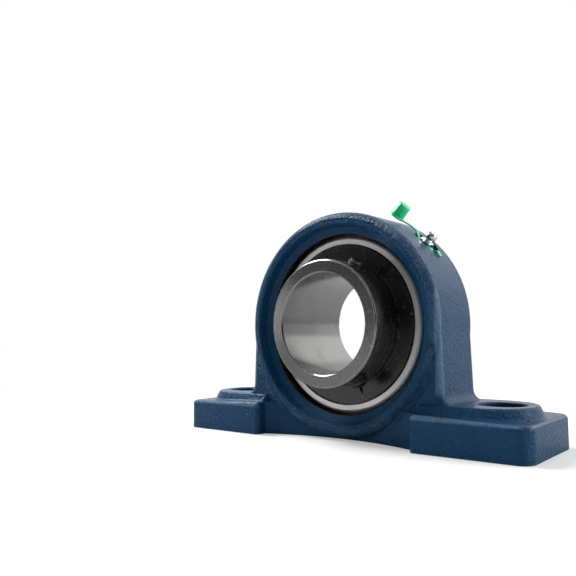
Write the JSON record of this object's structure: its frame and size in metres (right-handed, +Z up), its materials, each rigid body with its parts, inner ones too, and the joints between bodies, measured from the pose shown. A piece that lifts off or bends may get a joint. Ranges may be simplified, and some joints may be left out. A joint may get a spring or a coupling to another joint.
{
  "type": "pillow block bearing",
  "caption": "Cast pillow block on two slotted feet with a self-aligning insert ball bearing, set screws, grease nipple and a tethered nipple cap.",
  "frame": {"origin": "centre of the flat underside of the base, below the shaft's centre", "axes": "+X along the base from foot to foot, +Y along the shaft away from the extended side of the inner ring, which carries the set screws, +Z up"},
  "size_m": [0.219, 0.0634, 0.132],
  "materials": {
    "painted_casting": "dark blue gloss enamel over a rough sand casting, with a few rust specks",
    "ring_steel": "ground bearing steel, bright, with fine turning lines",
    "ball_steel": "polished bearing steel",
    "pin_steel": "plain steel",
    "cage_steel": "pressed mild steel",
    "spring_steel": "drawn spring wire",
    "seal_case": "pressed steel, black",
    "seal_rubber": "moulded nitrile rubber",
    "slinger_black": "pressed steel, satin black",
    "black_oxide": "black oxide with a film of oil",
    "zinc_plated": "bright zinc plating",
    "green_plastic": "soft green polyethylene"
  },
  "bodies": {
    "housing": {"housing": "painted_casting", "grease_nipple": "zinc_plated", "nipple_spring": "spring_steel", "cap_ring": "green_plastic"},
    "anti_rotation_pin": {"anti_rotation_pin": "pin_steel"},
    "outer_ring": {"outer_ring": "ring_steel", "seal_case_front": "seal_case", "seal_case_rear": "seal_case", "seal_lip_front": "seal_rubber", "seal_lip_rear": "seal_rubber"},
    "inner_ring": {"inner_ring": "ring_steel", "slinger_front": "slinger_black", "slinger_rear": "slinger_black"},
    "cage": {"cage_front": "cage_steel", "cage_rear": "cage_steel", "cage_rivets": "cage_steel"},
    "set_screw_1": {"set_screw_1": "black_oxide"},
    "set_screw_2": {"set_screw_2": "black_oxide"},
    "nipple_ball": {"nipple_ball": "ball_steel"},
    "nipple_cap": {"nipple_cap": "green_plastic"},
    "ball_01": {"ball_01": "ball_steel"},
    "ball_02": {"ball_02": "ball_steel"},
    "ball_03": {"ball_03": "ball_steel"},
    "ball_04": {"ball_04": "ball_steel"},
    "ball_05": {"ball_05": "ball_steel"},
    "ball_06": {"ball_06": "ball_steel"},
    "ball_07": {"ball_07": "ball_steel"},
    "ball_08": {"ball_08": "ball_steel"},
    "ball_09": {"ball_09": "ball_steel"},
    "ball_10": {"ball_10": "ball_steel"}
  },
  "joints": [
    {"name": "align_x", "type": "hinge", "parent": "housing", "child": "anti_rotation_pin", "pos_m": [0, 0, 0.0635], "axis": [1, 0, 0], "range_deg": [-2, 2]},
    {"name": "align_z", "type": "hinge", "parent": "anti_rotation_pin", "child": "outer_ring", "pos_m": [0, 0, 0.0635], "axis": [0, 0, 1], "range_deg": [-2, 2]},
    {"name": "ring_spin", "type": "hinge", "parent": "outer_ring", "child": "inner_ring", "pos_m": [0, 0, 0.0635], "axis": [0, 1, 0], "continuous": true},
    {"name": "cage_spin", "type": "hinge", "parent": "outer_ring", "child": "cage", "pos_m": [0, 0, 0.0635], "axis": [0, 1, 0], "continuous": true},
    {"name": "ball_01_spin", "type": "hinge", "parent": "cage", "child": "ball_01", "pos_m": [0.03875, 0, 0.0635], "axis": [0, 1, 0], "continuous": true},
    {"name": "ball_02_spin", "type": "hinge", "parent": "cage", "child": "ball_02", "pos_m": [0.03135, 0, 0.08628], "axis": [0, 1, 0], "continuous": true},
    {"name": "ball_03_spin", "type": "hinge", "parent": "cage", "child": "ball_03", "pos_m": [0.01197, 0, 0.10035], "axis": [0, 1, 0], "continuous": true},
    {"name": "ball_04_spin", "type": "hinge", "parent": "cage", "child": "ball_04", "pos_m": [-0.01197, 0, 0.10035], "axis": [0, 1, 0], "continuous": true},
    {"name": "ball_05_spin", "type": "hinge", "parent": "cage", "child": "ball_05", "pos_m": [-0.03135, 0, 0.08628], "axis": [0, 1, 0], "continuous": true},
    {"name": "ball_06_spin", "type": "hinge", "parent": "cage", "child": "ball_06", "pos_m": [-0.03875, 0, 0.0635], "axis": [0, 1, 0], "continuous": true},
    {"name": "ball_07_spin", "type": "hinge", "parent": "cage", "child": "ball_07", "pos_m": [-0.03135, 0, 0.04072], "axis": [0, 1, 0], "continuous": true},
    {"name": "ball_08_spin", "type": "hinge", "parent": "cage", "child": "ball_08", "pos_m": [-0.01197, 0, 0.02665], "axis": [0, 1, 0], "continuous": true},
    {"name": "ball_09_spin", "type": "hinge", "parent": "cage", "child": "ball_09", "pos_m": [0.01197, 0, 0.02665], "axis": [0, 1, 0], "continuous": true},
    {"name": "ball_10_spin", "type": "hinge", "parent": "cage", "child": "ball_10", "pos_m": [0.03135, 0, 0.04072], "axis": [0, 1, 0], "continuous": true},
    {"name": "set_screw_1_slide", "type": "slide", "parent": "inner_ring", "child": "set_screw_1", "axis": [0.4848, 0, 0.8746], "range_m": [-0.0005, 0.003]},
    {"name": "set_screw_2_slide", "type": "slide", "parent": "inner_ring", "child": "set_screw_2", "axis": [0.515, 0, -0.8572], "range_m": [-0.0005, 0.003]},
    {"name": "nipple_check", "type": "slide", "parent": "housing", "child": "nipple_ball", "axis": [-0.7071, 0, -0.7071], "range_m": [0, 0.0008], "stiffness_N_per_m": 300, "springref_m": -0.0005, "deforming": ["nipple_spring"]},
    {"name": "cap_lift", "type": "hinge", "parent": "housing", "child": "nipple_cap", "pos_m": [0.03854, 0.005, 0.11095], "axis": [0, 1, 0], "range_deg": [0, 80]}
  ],
  "couplings": [
    {"joint": "cage_spin", "follows": "ring_spin", "ratio": 0.40782},
    {"joint": "ball_01_spin", "follows": "ring_spin", "ratio": -2.6199},
    {"joint": "ball_02_spin", "follows": "ring_spin", "ratio": -2.6199},
    {"joint": "ball_03_spin", "follows": "ring_spin", "ratio": -2.6199},
    {"joint": "ball_04_spin", "follows": "ring_spin", "ratio": -2.6199},
    {"joint": "ball_05_spin", "follows": "ring_spin", "ratio": -2.6199},
    {"joint": "ball_06_spin", "follows": "ring_spin", "ratio": -2.6199},
    {"joint": "ball_07_spin", "follows": "ring_spin", "ratio": -2.6199},
    {"joint": "ball_08_spin", "follows": "ring_spin", "ratio": -2.6199},
    {"joint": "ball_09_spin", "follows": "ring_spin", "ratio": -2.6199},
    {"joint": "ball_10_spin", "follows": "ring_spin", "ratio": -2.6199}
  ]
}
